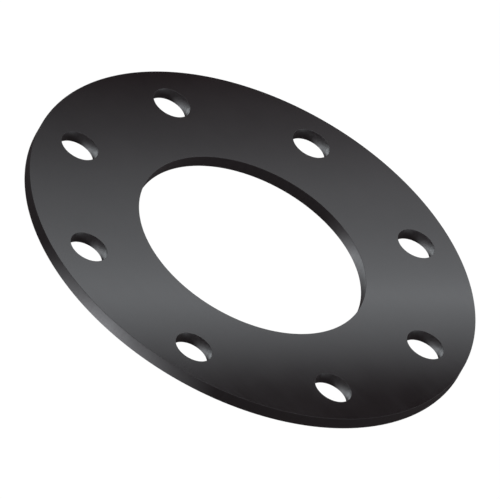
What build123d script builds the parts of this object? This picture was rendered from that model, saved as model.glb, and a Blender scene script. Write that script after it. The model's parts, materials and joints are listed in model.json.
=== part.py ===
from build123d import *
import os

# A full-face flange gasket: one flat rubber ring that covers the whole joint face of a pipe
# flange, with a central bore and a circle of bolt holes. It lies flat, with the origin at the
# centre of its lower face and +Z along the axis of the bore. All lengths are in millimetres.

# Driving dimensions
bore_diameter = 112.0  # clear of the pipe's own bore, so that no rubber stands in the flow
bolt_circle_diameter = 180.0
bolt_hole_diameter = 18.0
bolt_hole_count = 8
rim_width = 11.0  # rubber left between a bolt hole and the outer edge
thickness = 6.0

# The outer edge follows the bolt holes, as a flange's does.
outer_diameter = bolt_circle_diameter + bolt_hole_diameter + 2 * rim_width

# Flange holes straddle the centre lines, so the first one stands half a pitch off the X axis.
first_bolt_angle = 360 / bolt_hole_count / 2

with BuildPart() as gasket:
    with BuildSketch(Plane.XY):
        Circle(outer_diameter / 2)
        Circle(bore_diameter / 2, mode=Mode.SUBTRACT)
        with PolarLocations(bolt_circle_diameter / 2, bolt_hole_count, start_angle=first_bolt_angle):
            Circle(bolt_hole_diameter / 2, mode=Mode.SUBTRACT)
    extrude(amount=thickness)
gasket.part.label = "gasket"

os.makedirs("parts", exist_ok=True)
export_step(gasket.part, "parts/gasket.step")
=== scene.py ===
import json
import math

import bpy
from bpy.props import FloatProperty, FloatVectorProperty, IntProperty, PointerProperty
from mathutils import Matrix, Vector


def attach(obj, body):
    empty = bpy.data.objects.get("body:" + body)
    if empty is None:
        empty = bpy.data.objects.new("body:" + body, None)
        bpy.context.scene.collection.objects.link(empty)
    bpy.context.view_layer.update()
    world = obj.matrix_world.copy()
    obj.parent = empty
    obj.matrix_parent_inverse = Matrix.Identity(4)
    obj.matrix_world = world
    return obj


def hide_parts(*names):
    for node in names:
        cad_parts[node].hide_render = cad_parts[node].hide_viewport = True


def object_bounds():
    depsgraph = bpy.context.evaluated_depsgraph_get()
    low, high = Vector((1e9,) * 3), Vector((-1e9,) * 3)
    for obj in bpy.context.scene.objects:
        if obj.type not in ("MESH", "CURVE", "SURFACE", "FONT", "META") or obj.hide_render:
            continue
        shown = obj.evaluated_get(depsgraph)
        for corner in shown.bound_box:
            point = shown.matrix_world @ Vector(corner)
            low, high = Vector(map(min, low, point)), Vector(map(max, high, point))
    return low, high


bl_info = {
    "name": "Rubber flange gasket",
    "version": (1, 0, 0),
    "blender": (4, 5, 0),
    "location": "3D View > Sidebar > Gasket",
    "description": "Cuts a full-face rubber flange gasket and sets it on a lit white table",
    "category": "Object",
}

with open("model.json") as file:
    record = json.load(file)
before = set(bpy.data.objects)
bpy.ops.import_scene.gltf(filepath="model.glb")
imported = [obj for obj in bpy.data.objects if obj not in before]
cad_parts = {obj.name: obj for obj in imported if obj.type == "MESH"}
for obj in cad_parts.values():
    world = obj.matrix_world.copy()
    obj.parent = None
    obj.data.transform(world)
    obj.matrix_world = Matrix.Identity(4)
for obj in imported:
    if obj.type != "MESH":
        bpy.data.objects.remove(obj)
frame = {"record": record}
cad_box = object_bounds()
mounts = {mount["name"]: mount for mount in frame["record"]["mounts"]}

MILLIMETRE = 0.001
BODY = "root"
NODE = "gasket"


def stated(mount_name, size_name):
    """A size of one of the part's mounts, in metres."""
    return mounts[mount_name]["dims"][size_name] * MILLIMETRE


def cad_size():
    """The lengths of the CAD model's box along X, Y and Z."""
    low, high = cad_box
    return high - low


# ---------------------------------------------------------------- settings


class GasketSizes(bpy.types.PropertyGroup):
    """The gasket's sizes. Their defaults are the CAD model's own"""

    outer_diameter: FloatProperty(
        name="Outside diameter",
        description="Diameter of the sheet's outer edge",
        default=min(cad_size().x, cad_size().y),
        unit="LENGTH",
    )
    bore_diameter: FloatProperty(
        name="Bore",
        description="Diameter of the central bore",
        default=2 * stated("bore", "r_mm"),
        unit="LENGTH",
    )
    bolt_circle_diameter: FloatProperty(
        name="Bolt circle",
        description="Diameter of the circle that the bolt holes stand on",
        default=stated("bolt_holes", "pcd_mm"),
        unit="LENGTH",
    )
    bolt_hole_diameter: FloatProperty(
        name="Bolt hole",
        description="Diameter of each bolt hole",
        default=2 * stated("bolt_holes", "hole_r_mm"),
        unit="LENGTH",
    )
    bolt_hole_count: IntProperty(
        name="Bolt holes",
        description="How many bolt holes stand on the bolt circle",
        default=mounts["bolt_holes"]["dims"]["count"],
        min=2,
    )
    thickness: FloatProperty(
        name="Thickness",
        description="Thickness of the rubber sheet",
        default=cad_size().z,
        unit="LENGTH",
    )
    edge_rounding: FloatProperty(
        name="Edge rounding",
        description="Radius that the cut leaves on each edge of the soft rubber",
        default=0.12 * MILLIMETRE,
        unit="LENGTH",
    )


class RubberFinish(bpy.types.PropertyGroup):
    """The colours and surface of the rubber"""

    face_colour: FloatVectorProperty(
        name="Face colour",
        description="Colour of the rolled faces of the sheet",
        default=(0.0136, 0.0092, 0.0098),
        subtype="COLOR",
        size=3,
    )
    bloom_colour: FloatVectorProperty(
        name="Bloom colour",
        description="Colour of the faces where wax has bloomed on the rubber",
        default=(0.0169, 0.0119, 0.0126),
        subtype="COLOR",
        size=3,
    )
    face_roughness: FloatProperty(
        name="Face roughness",
        description="Middle roughness of the rolled faces",
        default=0.15,
        min=0.0,
        max=1.0,
    )
    face_unevenness: FloatProperty(
        name="Face unevenness",
        description="How far the roughness of the faces goes up and down",
        default=0.02,
        min=0.0,
        max=1.0,
    )
    mottle_size: FloatProperty(
        name="Mottle size",
        description="Width of the faint patches of bloom",
        default=16 * MILLIMETRE,
        unit="LENGTH",
    )
    streak_width: FloatProperty(
        name="Streak width",
        description="Width of the faint streaks that run the way the sheet was rolled",
        default=1.8 * MILLIMETRE,
        unit="LENGTH",
    )
    streak_depth: FloatProperty(
        name="Streak depth",
        description="Depth of the streaks",
        default=0.003 * MILLIMETRE,
        unit="LENGTH",
    )
    grain_size: FloatProperty(
        name="Grain size",
        description="Width of the fine grain that the rollers leave on the faces",
        default=0.4 * MILLIMETRE,
        unit="LENGTH",
    )
    grain_depth: FloatProperty(
        name="Grain depth",
        description="Depth of the grain",
        default=0.003 * MILLIMETRE,
        unit="LENGTH",
    )
    cut_colour: FloatVectorProperty(
        name="Cut colour",
        description="Colour of the cut walls",
        default=(0.0295, 0.0238, 0.0249),
        subtype="COLOR",
        size=3,
    )
    scuff_colour: FloatVectorProperty(
        name="Scuff colour",
        description="Colour of the ridges that the blade left dry on the cut walls",
        default=(0.0350, 0.0281, 0.0293),
        subtype="COLOR",
        size=3,
    )
    cut_roughness: FloatProperty(
        name="Cut roughness",
        description="Middle roughness of the cut walls",
        default=0.42,
        min=0.0,
        max=1.0,
    )
    cut_unevenness: FloatProperty(
        name="Cut unevenness",
        description="How far the roughness of the cut walls goes up and down",
        default=0.08,
        min=0.0,
        max=1.0,
    )
    rubber_index: FloatProperty(
        name="Rubber index",
        description="Index of refraction of the rubber",
        default=1.5,
        min=1.0,
        max=3.0,
    )
    cut_line_width: FloatProperty(
        name="Cut line width",
        description="Width of the fine lines that the blade dragged down the cut walls",
        default=0.7 * MILLIMETRE,
        unit="LENGTH",
    )
    cut_line_depth: FloatProperty(
        name="Cut line depth",
        description="Depth of the cut lines",
        default=0.012 * MILLIMETRE,
        unit="LENGTH",
    )


class StageSettings(bpy.types.PropertyGroup):
    """The table, the lights and the camera"""

    table_size: FloatProperty(
        name="Table size",
        description="Side of the lit white table",
        default=20.0,
        unit="LENGTH",
    )
    lamp_colour: FloatVectorProperty(
        name="Lamp colour",
        description="Colour of the softboxes",
        default=(0.94, 0.99, 1.03),
        subtype="COLOR",
        size=3,
    )
    band_brightness: FloatProperty(
        name="Band brightness",
        description="Brightness of the softbox that the upper face mirrors",
        default=2.50,
    )
    band_distance: FloatProperty(
        name="Band distance",
        description="Distance of that softbox from the middle of the upper face",
        default=0.18,
        unit="LENGTH",
    )
    side_brightness: FloatProperty(
        name="Side brightness",
        description="Brightness of the softboxes round the other sides of the table",
        default=1.2,
    )
    overhead_brightness: FloatProperty(
        name="Overhead brightness",
        description="Brightness of the softbox overhead",
        default=1.35,
    )
    rim_glow: FloatProperty(
        name="Rim glow",
        description="Brightness of the table lamps at the foot of the outer wall",
        default=3.5,
    )
    bore_glow: FloatProperty(
        name="Bore glow",
        description="Brightness of the table lamps at the foot of the bore's wall",
        default=2.6,
    )
    hole_glow: FloatProperty(
        name="Hole glow",
        description="Brightness of the table lamp in each bolt hole",
        default=3.5,
    )
    view_azimuth: FloatProperty(
        name="View azimuth",
        description="Direction that the camera looks from, round the Z axis",
        default=math.radians(22.5),
        subtype="ANGLE",
    )
    view_elevation: FloatProperty(
        name="View elevation",
        description="Height of the camera above the horizon",
        default=math.radians(36.1),
        subtype="ANGLE",
    )
    view_roll: FloatProperty(
        name="View roll",
        description="Turn of the camera about its line of sight",
        default=math.radians(29.95),
        subtype="ANGLE",
    )
    view_width: FloatProperty(
        name="View width",
        description="Width of what the camera takes in",
        default=0.2257,
        unit="LENGTH",
    )
    view_right: FloatProperty(
        name="View right",
        description="How far the camera stands to the right of the gasket's middle",
        default=1.21 * MILLIMETRE,
        unit="LENGTH",
    )
    view_up: FloatProperty(
        name="View up",
        description="How far the camera stands above the line to the gasket's middle",
        default=2.28 * MILLIMETRE,
        unit="LENGTH",
    )


# ---------------------------------------------------------------- helpers

FULL_TURN = 2 * math.pi
QUARTER_TURN = math.pi / 2
HALF = 0.5


def deselect_all():
    """Ends with nothing selected, in object mode."""
    if bpy.context.object is not None and bpy.context.object.mode != "OBJECT":
        bpy.ops.object.mode_set(mode="OBJECT")
    bpy.ops.object.select_all(action="DESELECT")


def polar(radius, angle, height=0.0):
    """A point at that distance from the Z axis."""
    return Vector((radius * math.cos(angle), radius * math.sin(angle), height))


def hole_angles(sizes):
    """The directions of the bolt holes, which straddle the X and Y axes."""
    pitch = FULL_TURN / sizes.bolt_hole_count
    return [(hole + HALF) * pitch for hole in range(sizes.bolt_hole_count)]


# ---------------------------------------------------------------- materials

# A noise pattern hardly leaves this range
NOISE_LOW = 0.3
NOISE_HIGH = 0.7

# How each pattern is stretched: a small scale draws it out along that axis
EVENLY = (1, 1, 1)
ALONG_ROLL = (0.03, 1, 1)
THROUGH_SHEET = (1, 1, 0.04)

# How many finer layers of noise each pattern has
PLAIN_DETAIL = 2.0
STREAK_DETAIL = 3.0
RICH_DETAIL = 4.0


def new_material(name):
    """A material whose node tree holds only a Principled shader and the output."""
    material = bpy.data.materials.new(name)
    material.use_nodes = True
    tree = material.node_tree
    tree.nodes.clear()
    output = tree.nodes.new("ShaderNodeOutputMaterial")
    shader = tree.nodes.new("ShaderNodeBsdfPrincipled")
    tree.links.new(shader.outputs["BSDF"], output.inputs["Surface"])
    return material, tree, shader


def stretched(tree, scale):
    """Object coordinates, scaled along each axis."""
    coordinates = tree.nodes.new("ShaderNodeTexCoord")
    mapping = tree.nodes.new("ShaderNodeMapping")
    mapping.inputs["Scale"].default_value = scale
    tree.links.new(coordinates.outputs["Object"], mapping.inputs["Vector"])
    return mapping.outputs["Vector"]


def noise(tree, vector, width, detail=PLAIN_DETAIL):
    """A noise pattern whose spots have that width."""
    texture = tree.nodes.new("ShaderNodeTexNoise")
    texture.inputs["Scale"].default_value = 1 / width
    texture.inputs["Detail"].default_value = detail
    tree.links.new(vector, texture.inputs["Vector"])
    return texture.outputs["Fac"]


def spread(tree, value, low, high):
    """Spreads a noise pattern from low to high."""
    remap = tree.nodes.new("ShaderNodeMapRange")
    remap.inputs["From Min"].default_value = NOISE_LOW
    remap.inputs["From Max"].default_value = NOISE_HIGH
    remap.inputs["To Min"].default_value = low
    remap.inputs["To Max"].default_value = high
    tree.links.new(value, remap.inputs["Value"])
    return remap.outputs["Result"]


def added(tree, first, second):
    """The sum of two patterns."""
    total = tree.nodes.new("ShaderNodeMath")
    total.operation = "ADD"
    tree.links.new(first, total.inputs[0])
    tree.links.new(second, total.inputs[1])
    return total.outputs["Value"]


def blended(tree, factor, first, second):
    """The first colour where the factor is 0, and the second where it is 1."""
    mix = tree.nodes.new("ShaderNodeMixRGB")
    mix.inputs["Color1"].default_value = (*first, 1)
    mix.inputs["Color2"].default_value = (*second, 1)
    tree.links.new(factor, mix.inputs["Fac"])
    return mix.outputs["Color"]


def relief(tree, height, depth, under=None):
    """A bump of that depth, on top of the bump under it."""
    bump = tree.nodes.new("ShaderNodeBump")
    bump.inputs["Strength"].default_value = 1.0
    bump.inputs["Distance"].default_value = depth
    tree.links.new(height, bump.inputs["Height"])
    if under is not None:
        tree.links.new(under, bump.inputs["Normal"])
    return bump.outputs["Normal"]


def rubber_face(finish):
    """Rolled sheet rubber: near black and satin, with fine grain, faint streaks and bloom."""
    material, tree, shader = new_material("rubber_face")
    shader.inputs["IOR"].default_value = finish.rubber_index
    along_roll = stretched(tree, ALONG_ROLL)
    even = stretched(tree, EVENLY)
    mottle = noise(tree, even, finish.mottle_size, RICH_DETAIL)
    streaks = noise(tree, along_roll, finish.streak_width, STREAK_DETAIL)
    grain = noise(tree, even, finish.grain_size)

    colour = blended(tree, spread(tree, mottle, 0, 1), finish.face_colour, finish.bloom_colour)
    tree.links.new(colour, shader.inputs["Base Color"])

    half_uneven = finish.face_unevenness / 2
    smoothest = finish.face_roughness - half_uneven
    roughest = finish.face_roughness + half_uneven
    patchy = spread(tree, mottle, smoothest, roughest)
    streaky = spread(tree, streaks, -half_uneven, half_uneven)
    tree.links.new(added(tree, patchy, streaky), shader.inputs["Roughness"])

    rolled = relief(tree, streaks, finish.streak_depth)
    tree.links.new(relief(tree, grain, finish.grain_depth, rolled), shader.inputs["Normal"])
    return material


def rubber_cut(finish):
    """The cut wall of the sheet: duller, with fine drag lines that run through its thickness."""
    material, tree, shader = new_material("rubber_cut")
    shader.inputs["IOR"].default_value = finish.rubber_index
    through_sheet = stretched(tree, THROUGH_SHEET)
    even = stretched(tree, EVENLY)
    lines = noise(tree, through_sheet, finish.cut_line_width, RICH_DETAIL)
    grain = noise(tree, even, finish.grain_size)

    colour = blended(tree, spread(tree, lines, 0, 1), finish.cut_colour, finish.scuff_colour)
    tree.links.new(colour, shader.inputs["Base Color"])

    low = finish.cut_roughness - finish.cut_unevenness
    high = finish.cut_roughness + finish.cut_unevenness
    tree.links.new(spread(tree, lines, low, high), shader.inputs["Roughness"])

    dragged = relief(tree, lines, finish.cut_line_depth)
    tree.links.new(relief(tree, grain, finish.grain_depth, dragged), shader.inputs["Normal"])
    return material


# ---------------------------------------------------------------- the gasket

RIM_SIDES = 360
BORE_SIDES = 240
HOLE_SIDES = 64
EDGE_SEGMENTS = 3
SHARPEST_BEND = math.radians(60)
NEARLY_LEVEL = 0.99
FACE_INDEX = 0
CUT_INDEX = 1


class MESH_OT_cut_gasket(bpy.types.Operator):
    """Draw the gasket's circles, fill them, and extrude the sheet to its thickness"""

    bl_idname = "mesh.cut_gasket"
    bl_label = "Cut Gasket"

    def execute(self, context):
        sizes = context.scene.gasket_sizes
        deselect_all()
        bpy.ops.mesh.primitive_circle_add(vertices=RIM_SIDES, radius=sizes.outer_diameter / 2)
        gasket = context.object
        gasket.name = "gasket_sheet"
        bpy.ops.object.mode_set(mode="EDIT")
        bpy.ops.mesh.primitive_circle_add(vertices=BORE_SIDES, radius=sizes.bore_diameter / 2)
        for angle in hole_angles(sizes):
            bpy.ops.mesh.primitive_circle_add(
                vertices=HOLE_SIDES,
                radius=sizes.bolt_hole_diameter / 2,
                location=polar(sizes.bolt_circle_diameter / 2, angle),
            )
        bpy.ops.mesh.select_all(action="SELECT")
        bpy.ops.mesh.fill(use_beauty=True)
        bpy.ops.mesh.select_all(action="SELECT")
        bpy.ops.mesh.extrude_region_move(
            TRANSFORM_OT_translate={"value": (0, 0, sizes.thickness)}
        )
        bpy.ops.mesh.select_all(action="SELECT")
        bpy.ops.mesh.normals_make_consistent(inside=False)
        bpy.ops.object.mode_set(mode="OBJECT")

        bevel = gasket.modifiers.new("edges", "BEVEL")
        bevel.width = sizes.edge_rounding
        bevel.segments = EDGE_SEGMENTS
        bevel.limit_method = "ANGLE"
        bevel.angle_limit = SHARPEST_BEND
        bpy.ops.object.modifier_apply(modifier=bevel.name)
        bpy.ops.object.shade_smooth()
        level = gasket.modifiers.new("level_faces", "WEIGHTED_NORMAL")
        level.keep_sharp = True
        bpy.ops.object.modifier_apply(modifier=level.name)

        finish = context.scene.rubber_finish
        gasket.data.materials.append(rubber_face(finish))
        gasket.data.materials.append(rubber_cut(finish))
        for polygon in gasket.data.polygons:
            is_face = abs(polygon.normal.z) > NEARLY_LEVEL
            polygon.material_index = FACE_INDEX if is_face else CUT_INDEX
        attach(gasket, BODY)
        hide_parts(NODE)
        return {"FINISHED"}


# ---------------------------------------------------------------- the stage

CAMERA_DISTANCE = 1.0

# How far the table lies under the gasket, and the two depths of the lamps that are let into it
TABLE_DROP = 0.10 * MILLIMETRE
GLOW_DROPS = (0.03 * MILLIMETRE, 0.06 * MILLIMETRE)

STUDIO_GLOW = (0.020, 0.016, 0.017)
TABLE_COLOUR = (0.03, 0.03, 0.03)
TABLE_GLOW = (0.070, 0.060, 0.062)
GLOW_COLOUR = (0.91, 0.97, 1.01)

# The softbox that the upper face mirrors. A grade is a list of stops: a share of the softbox's
# side, and the brightness there
BAND_WIDTH = 0.40
BAND_HEIGHT = 0.30
BAND_ACROSS = [(0.0, 0.0), (0.18, 1.0), (0.82, 1.0), (1.0, 0.0)]
BAND_UPWARDS = [
    (0.294, 0.000),
    (0.322, 0.200),
    (0.368, 0.502),
    (0.410, 0.740),
    (0.423, 1.000),
    (0.436, 0.780),
    (0.450, 0.690),
    (0.520, 0.490),
    (0.590, 0.362),
    (0.660, 0.170),
    (0.765, 0.000),
]

# The softboxes round the other sides, which fade into each other
SIDE_BOX_COUNT = 5
SIDE_BOX_SIZE = 0.8
SIDE_BOX_DISTANCE = 0.55
SIDE_BOX_TILT = math.radians(32)
SIDE_ACROSS = [(0.0, 0.0), (0.2, 0.25), (0.5, 1.0), (0.8, 0.25), (1.0, 0.0)]
SIDE_UPWARDS = [(0.1, 0.0), (0.35, 0.35), (0.55, 1.0), (1.0, 0.1)]

# The softbox overhead
OVERHEAD_SIZE = 1.1
OVERHEAD_HEIGHT = 0.6
OVERHEAD_ACROSS = [(0.0, 0.4), (0.38, 0.6), (0.5, 1.0), (0.62, 0.6), (1.0, 0.4)]
OVERHEAD_UPWARDS = [(0.0, 0.35), (0.5, 1.0), (1.0, 0.6)]

# The lamps let into the table at the foot of each wall: (heading in degrees, share of the
# brightness), the distance from the wall to the middle of a lamp, its size across and along the
# wall, and how widely it shines
RIM_GLOW_LEVELS = [
    (226, 0.06),
    (232, 0.26),
    (238, 0.50),
    (244, 0.89),
    (250, 1.00),
    (256, 0.68),
    (262, 0.49),
    (268, 0.27),
    (274, 0.12),
]
RIM_GLOW_GAP = 6 * MILLIMETRE
RIM_GLOW_SIZE = (14 * MILLIMETRE, 24.3 * MILLIMETRE)
BORE_GLOW_LEVELS = [(20, 0.07), (28, 0.27), (36, 0.60), (44, 1.00), (52, 0.56), (60, 0.13)]
BORE_GLOW_GAP = 5 * MILLIMETRE
BORE_GLOW_SIZE = (12 * MILLIMETRE, 14.2 * MILLIMETRE)
HOLE_GLOW_LEVELS = [(63, 1.00)]
HOLE_GLOW_GAP = 1.4 * MILLIMETRE
HOLE_GLOW_SIZE = (3.6 * MILLIMETRE, 8 * MILLIMETRE)
WALL_SPREAD = math.radians(180)
HOLE_SPREAD = math.radians(150)
GLOW_ACROSS = [(0.0, 1.0), (1.0, 1.0)]
GLOW_ALONG = [(0.0, 0.0), (0.5, 1.0), (1.0, 0.0)]


def view_axes(stage):
    """The camera's right, up and backward directions."""
    azimuth, elevation, roll = stage.view_azimuth, stage.view_elevation, stage.view_roll
    level_right = polar(1, azimuth)
    level_back = polar(1, azimuth - QUARTER_TURN)
    back = math.cos(elevation) * level_back + math.sin(elevation) * Vector((0, 0, 1))
    level_up = back.cross(level_right)
    right = math.cos(roll) * level_right + math.sin(roll) * level_up
    up = math.cos(roll) * level_up - math.sin(roll) * level_right
    return right, up, back


def placed(right, up, back, place):
    """The matrix of something at place with those three directions as its axes."""
    turned = Matrix((right, up, back)).transposed().to_4x4()
    return Matrix.Translation(place) @ turned


def white_to_camera(tree, socket, glow):
    """Makes a surface white to the camera, while it gives the gasket only that glow."""
    path = tree.nodes.new("ShaderNodeLightPath")
    mix = tree.nodes.new("ShaderNodeMixRGB")
    mix.inputs["Color1"].default_value = (*glow, 1)
    mix.inputs["Color2"].default_value = (1, 1, 1, 1)
    tree.links.new(path.outputs["Is Camera Ray"], mix.inputs["Fac"])
    tree.links.new(mix.outputs["Color"], socket)


def lay_table(stage):
    """A white table that is lit evenly from inside, so that nothing throws a shadow on it."""
    deselect_all()
    bpy.ops.mesh.primitive_plane_add(size=stage.table_size, location=(0, 0, -TABLE_DROP))
    table = bpy.context.object
    table.name = "table"
    material, tree, shader = new_material("lit_table")
    shader.inputs["Base Color"].default_value = (*TABLE_COLOUR, 1)
    shader.inputs["Roughness"].default_value = 1.0
    shader.inputs["Specular IOR Level"].default_value = 0.0
    shader.inputs["Emission Strength"].default_value = 1.0
    white_to_camera(tree, shader.inputs["Emission Color"], TABLE_GLOW)
    table.data.materials.append(material)


def softbox(name, matrix, width, height, brightness, colour):
    """A soft rectangular light. brightness is its radiance."""
    deselect_all()
    bpy.ops.object.light_add(type="AREA")
    lamp = bpy.context.object
    lamp.name = name
    lamp.matrix_world = matrix
    lamp.data.shape = "RECTANGLE"
    lamp.data.size = width
    lamp.data.size_y = height
    lamp.data.energy = brightness * math.pi * width * height
    lamp.data.color = colour
    lamp.visible_camera = False
    return lamp


def ramp(tree, share, stops):
    """The brightness at that share of a side, between stops of (share, brightness)."""
    node = tree.nodes.new("ShaderNodeValToRGB")
    tree.links.new(share, node.inputs["Fac"])
    elements = node.color_ramp.elements
    while len(elements) < len(stops):
        elements.new(1.0)
    for element, (place, level) in zip(elements, stops):
        element.position = place
        element.color = (level, level, level, 1)
    return node.outputs["Color"]


def grade(lamp, across, upwards):
    """Grades a softbox from side to side and from its lower to its upper side."""
    lamp.data.use_nodes = True
    tree = lamp.data.node_tree
    geometry = tree.nodes.new("ShaderNodeNewGeometry")
    split = tree.nodes.new("ShaderNodeSeparateXYZ")
    product = tree.nodes.new("ShaderNodeMath")
    product.operation = "MULTIPLY"
    tree.links.new(geometry.outputs["Parametric"], split.inputs["Vector"])
    tree.links.new(ramp(tree, split.outputs["X"], across), product.inputs[0])
    tree.links.new(ramp(tree, split.outputs["Y"], upwards), product.inputs[1])
    tree.links.new(product.outputs["Value"], tree.nodes["Emission"].inputs["Strength"])


def hang_band(stage, thickness):
    """The graded softbox whose mirror image crosses the upper face as a soft level band.

    It hangs on the far side, where the face mirrors the camera's line of sight.
    """
    mirrored = Vector((1, 1, -1))
    right, up, back = [axis * mirrored for axis in view_axes(stage)]
    top_centre = Vector((0, 0, thickness))
    matrix = placed(right, up, -back, top_centre - back * stage.band_distance)
    lamp = softbox(
        "band_softbox", matrix, BAND_WIDTH, BAND_HEIGHT, stage.band_brightness, stage.lamp_colour
    )
    grade(lamp, BAND_ACROSS, BAND_UPWARDS)


def hang_side_boxes(stage):
    """Weaker softboxes round the other sides of the table."""
    behind = stage.view_azimuth + QUARTER_TURN
    pitch = FULL_TURN / (SIDE_BOX_COUNT + 1)
    for number in range(1, SIDE_BOX_COUNT + 1):
        heading = behind + number * pitch
        outward = polar(math.cos(SIDE_BOX_TILT), heading, math.sin(SIDE_BOX_TILT))
        along = polar(1, heading - QUARTER_TURN)
        matrix = placed(along, outward.cross(along), outward, outward * SIDE_BOX_DISTANCE)
        lamp = softbox(
            f"side_softbox_{number}",
            matrix,
            SIDE_BOX_SIZE,
            SIDE_BOX_SIZE,
            stage.side_brightness,
            stage.lamp_colour,
        )
        grade(lamp, SIDE_ACROSS, SIDE_UPWARDS)


def hang_overhead(stage):
    """A wide softbox over the gasket, brightest across its middle."""
    matrix = Matrix.Translation((0, 0, OVERHEAD_HEIGHT))
    lamp = softbox(
        "overhead_softbox",
        matrix,
        OVERHEAD_SIZE,
        OVERHEAD_SIZE,
        stage.overhead_brightness,
        stage.lamp_colour,
    )
    grade(lamp, OVERHEAD_ACROSS, OVERHEAD_UPWARDS)


def wall_glow(name, stage, centre, radius, levels, lamp_size, brightness, spread=WALL_SPREAD):
    """Small lamps let into the table at the foot of a round wall, which fade into each other.

    levels holds the heading of each lamp, from the camera's level right, and its share of the
    brightness. Neighbours lie at different depths, because lamps that overlap in one plane don't
    add up.
    """
    reach, length = lamp_size
    for number, (heading, level) in enumerate(levels):
        angle = math.radians(heading) + stage.view_azimuth
        drop = GLOW_DROPS[number % len(GLOW_DROPS)]
        place = centre + polar(radius, angle, -drop)
        along = polar(1, angle - QUARTER_TURN)
        matrix = placed(polar(1, angle), along, Vector((0, 0, -1)), place)
        lamp = softbox(
            f"{name}_{number + 1}", matrix, reach, length, brightness * level, GLOW_COLOUR
        )
        lamp.data.spread = spread
        grade(lamp, GLOW_ACROSS, GLOW_ALONG)


def light_table_foot(stage, sizes):
    """The gleams that the table throws on the outer wall, the bore and the bolt holes."""
    axis = Vector((0, 0, 0))
    wall_glow(
        "rim_glow",
        stage,
        axis,
        sizes.outer_diameter / 2 + RIM_GLOW_GAP,
        RIM_GLOW_LEVELS,
        RIM_GLOW_SIZE,
        stage.rim_glow,
    )
    wall_glow(
        "bore_glow",
        stage,
        axis,
        sizes.bore_diameter / 2 - BORE_GLOW_GAP,
        BORE_GLOW_LEVELS,
        BORE_GLOW_SIZE,
        stage.bore_glow,
    )
    for number, angle in enumerate(hole_angles(sizes)):
        wall_glow(
            f"hole_glow_{number + 1}",
            stage,
            polar(sizes.bolt_circle_diameter / 2, angle),
            sizes.bolt_hole_diameter / 2 - HOLE_GLOW_GAP,
            HOLE_GLOW_LEVELS,
            HOLE_GLOW_SIZE,
            stage.hole_glow,
            HOLE_SPREAD,
        )


def light_studio():
    """A dim studio round the table."""
    world = bpy.data.worlds.new("studio")
    world.use_nodes = True
    tree = world.node_tree
    white_to_camera(tree, tree.nodes["Background"].inputs["Color"], STUDIO_GLOW)
    bpy.context.scene.world = world


def set_camera(stage):
    """A camera with no perspective, so that each circle shows as a true ellipse."""
    right, up, back = view_axes(stage)
    place = back * CAMERA_DISTANCE + right * stage.view_right + up * stage.view_up
    deselect_all()
    bpy.ops.object.camera_add()
    camera = bpy.context.object
    camera.data.type = "ORTHO"
    camera.data.ortho_scale = stage.view_width
    camera.matrix_world = placed(right, up, back, place)
    bpy.context.scene.camera = camera
    bpy.context.scene.view_settings.view_transform = "Standard"


class SCENE_OT_gasket_stage(bpy.types.Operator):
    """Lay the lit table, hang the softboxes and set the camera"""

    bl_idname = "scene.gasket_stage"
    bl_label = "Set Gasket Stage"

    def execute(self, context):
        stage = context.scene.gasket_stage
        sizes = context.scene.gasket_sizes
        lay_table(stage)
        hang_band(stage, sizes.thickness)
        hang_side_boxes(stage)
        hang_overhead(stage)
        light_table_foot(stage, sizes)
        light_studio()
        set_camera(stage)
        return {"FINISHED"}


# ---------------------------------------------------------------- panel and registration


class VIEW3D_PT_gasket(bpy.types.Panel):
    """The gasket's sizes, finish and stage"""

    bl_label = "Gasket"
    bl_idname = "VIEW3D_PT_gasket"
    bl_space_type = "VIEW_3D"
    bl_region_type = "UI"
    bl_category = "Gasket"

    def draw(self, context):
        layout = self.layout
        scene = context.scene
        for settings, operator in (
            (scene.gasket_sizes, None),
            (scene.rubber_finish, MESH_OT_cut_gasket),
            (scene.gasket_stage, SCENE_OT_gasket_stage),
        ):
            for name in settings.__annotations__:
                layout.prop(settings, name)
            if operator is not None:
                layout.operator(operator.bl_idname)


CLASSES = (
    GasketSizes,
    RubberFinish,
    StageSettings,
    MESH_OT_cut_gasket,
    SCENE_OT_gasket_stage,
    VIEW3D_PT_gasket,
)


def register():
    for kind in CLASSES:
        bpy.utils.register_class(kind)
    bpy.types.Scene.gasket_sizes = PointerProperty(type=GasketSizes)
    bpy.types.Scene.rubber_finish = PointerProperty(type=RubberFinish)
    bpy.types.Scene.gasket_stage = PointerProperty(type=StageSettings)


def unregister():
    del bpy.types.Scene.gasket_stage
    del bpy.types.Scene.rubber_finish
    del bpy.types.Scene.gasket_sizes
    for kind in reversed(CLASSES):
        bpy.utils.unregister_class(kind)


def main():
    register()
    bpy.ops.mesh.cut_gasket()
    bpy.ops.scene.gasket_stage()


if __name__ == "__main__":
    main()
